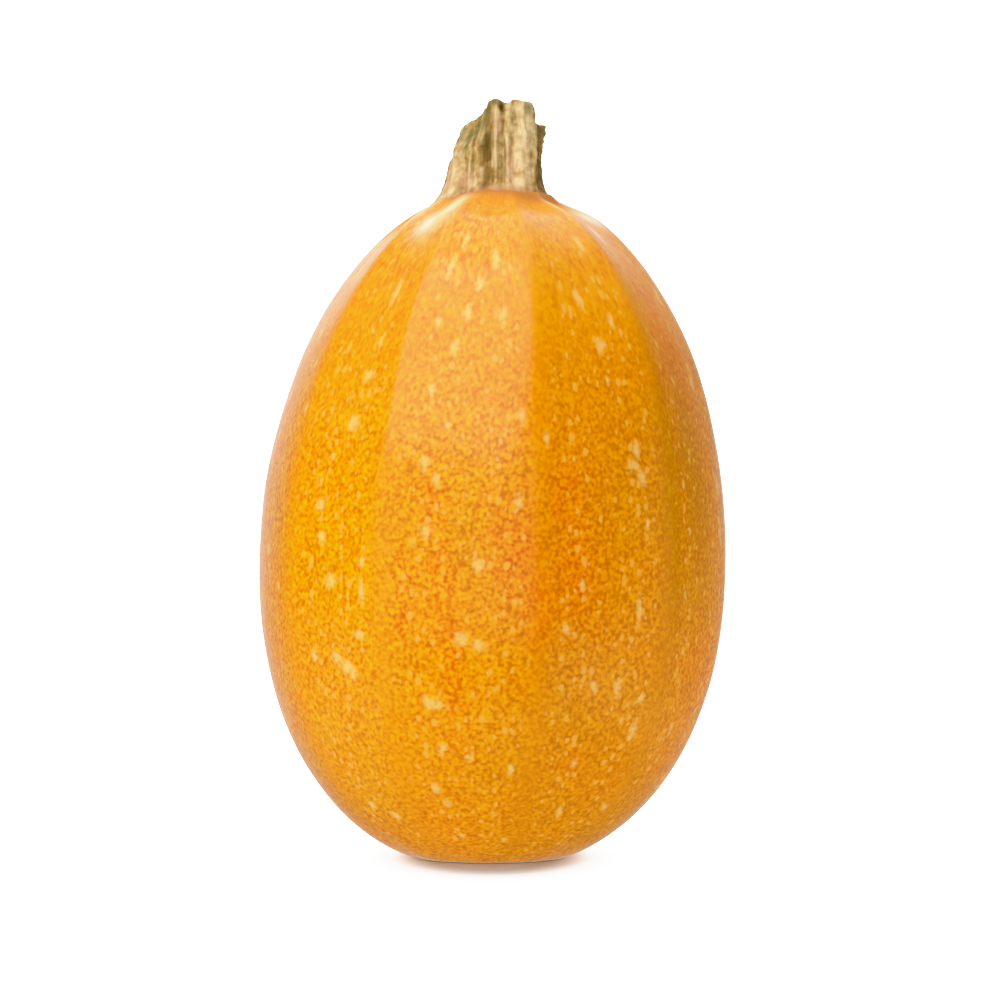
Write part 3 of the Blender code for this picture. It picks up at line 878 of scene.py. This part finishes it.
def glow_from(tree, side, strength, narrowness):
    """How bright the studio is each way: strongest towards one side, and dark on the far one."""
    way = add(tree, "TexCoord", out="Generated")
    side = Vector(side).normalized()
    facing = add(tree, "VectorMath", {0: way, 1: side}, operation="DOT_PRODUCT", out="Value")
    facing = add(tree, "Math", {0: facing, 1: 0.0}, operation="MAXIMUM")
    falling = add(tree, "Math", {0: facing, 1: narrowness}, operation="POWER")
    return add(tree, "Math", {0: falling, 1: strength}, operation="MULTIPLY")


def total(tree, parts):
    """The sum of several outputs."""
    summed = parts[0]
    for part in parts[1:]:
        summed = add(tree, "Math", {0: summed, 1: part}, operation="ADD")
    return summed


def light_scene():
    """Two softboxes that show on the skin, fill lights that don't, and white cards that stand for
    the floor's own bounce."""
    up = Vector((0.0, 0.0, 1.0))
    softbox("key_softbox", direction(-31, 49, 1.0), (1.1, 0.96), 2.0)
    softbox("top_softbox", direction(180, 76, 1.0), (0.9, 1.3), 1.08)
    softbox("left_fill", direction(-45, 5, 1.0), (0.7, 0.7), 1.74, gloss=False)
    softbox("front_fill", direction(-2, 3, 1.0), (0.7, 0.7), 1.95, gloss=False)
    softbox("right_fill", direction(85, 4, 1.0), (0.6, 0.6), 1.42, gloss=False)
    softbox("back_fill", direction(120, 55, 1.0), (0.6, 0.6), 1.1, gloss=False)
    softbox("left_card", (-0.30, 0.0, 0.0004), (0.4, 0.5), 0.72, facing=up, gloss=False)
    softbox("right_card", (0.30, 0.0, 0.0004), (0.4, 0.5), 0.98, facing=up, gloss=False)
    softbox("near_card", (0.0, 0.0, 0.0004), (0.3, 0.3), 0.57, facing=up, gloss=False)
    softbox("wide_card", (0.0, 0.0, 0.0002), (2.0, 2.0), 0.30, facing=up, gloss=False)


def build_studio():
    """A studio that is bright behind the fruit, and plain white where the camera sees it."""
    world = bpy.data.worlds.new("white_studio")
    world.use_nodes = True
    tree = world.node_tree
    studio = total(tree, [
        glow_from(tree, (0.0, 1.0, 0.15), 1.0, 7.0),
        glow_from(tree, (-0.9, 0.3, 0.8), 0.15, 3.0),
        glow_from(tree, (-0.8, 0.7, -0.6), 0.18, 5.0),
        glow_from(tree, (0.7, 0.65, -0.35), 0.12, 6.0),
        glow_from(tree, (0.0, 0.75, 0.66), 0.55, 8.0),
        glow_from(tree, (0.0, 0.2, 1.0), 0.3, 2.0),
    ])
    studio = add(tree, "Background", {"Strength": studio, "Color": (1.0, 1.0, 1.0, 1.0)})
    backdrop = add(tree, "Background", {"Strength": 2.5, "Color": (1.0, 1.0, 1.0, 1.0)})
    camera_ray = add(tree, "LightPath", out="Is Camera Ray")
    mixed = add(tree, "MixShader", {0: camera_ray, 1: studio, 2: backdrop})
    tree.links.new(mixed, tree.nodes["World Output"].inputs["Surface"])
    bpy.context.scene.world = world


# The film's soft shoulder, as (light, brightness kept): highlights press together as in a photo
SHOULDER = (
    (0.0, 0.0), (0.7, 0.7), (0.85, 0.84), (1.0, 0.92), (1.2, 0.955), (1.5, 0.98), (2.0, 1.0),
)
# The photo's rich oranges keep no blue but in highlights
BLUE_TOE = 0.007


def expose():
    """Plain colours with the film's shoulder, and its toe in blue."""
    brightest, most_kept = SHOULDER[-1]
    view = bpy.context.scene.view_settings
    view.view_transform = "Standard"
    view.use_curve_mapping = True
    view.curve_mapping.black_level = (0.0, 0.0, BLUE_TOE)
    view.curve_mapping.white_level = (brightest, brightest, brightest)
    points = view.curve_mapping.curves[3].points
    points[0].location = SHOULDER[0]
    points[1].location = (1.0, most_kept)
    for light, kept in SHOULDER[1:-1]:
        points.new(light / brightest, kept)
    for point in points:
        point.handle_type = "VECTOR"
    view.curve_mapping.update()


# The photo is square and level with the fruit's middle. One of its 1000 pixels is 0.318 mm.
CAMERA_DISTANCE = 1.2
PICTURE_WIDTH = 318.0 * MM
CAMERA_HEIGHT = 113.4 * MM
CAMERA_SIDE = 2.8 * MM
SENSOR = 36.0


def aim_camera():
    camera = bpy.data.cameras.new("photo_view")
    camera.sensor_width = SENSOR
    camera.lens = SENSOR * CAMERA_DISTANCE / PICTURE_WIDTH
    holder = bpy.data.objects.new("photo_view", camera)
    holder.location = (CAMERA_SIDE, -CAMERA_DISTANCE, CAMERA_HEIGHT)
    holder.rotation_euler = (math.radians(90.0), 0.0, 0.0)
    bpy.context.collection.objects.link(holder)
    bpy.context.scene.camera = holder


def lay_floor():
    """The paper under the fruit. It shows in no reflection, and lights nothing."""
    bpy.ops.object.select_all(action="DESELECT")
    bpy.ops.mesh.primitive_plane_add(size=12.0, location=(0.0, 0.0, 0.0))
    floor = bpy.context.active_object
    floor.name = "paper_sweep"
    floor.data.materials.append(floor_finish())
    floor.visible_glossy = False
    floor.visible_diffuse = False


rind = make_rind()
rind.data.materials.append(rind_finish())
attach(rind, "root")
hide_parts("fruit")

stem = make_stem()
stem.data.materials.append(stem_finish())
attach(stem, "root")
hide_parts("stem")

lay_floor()
light_scene()
build_studio()
aim_camera()
expose()
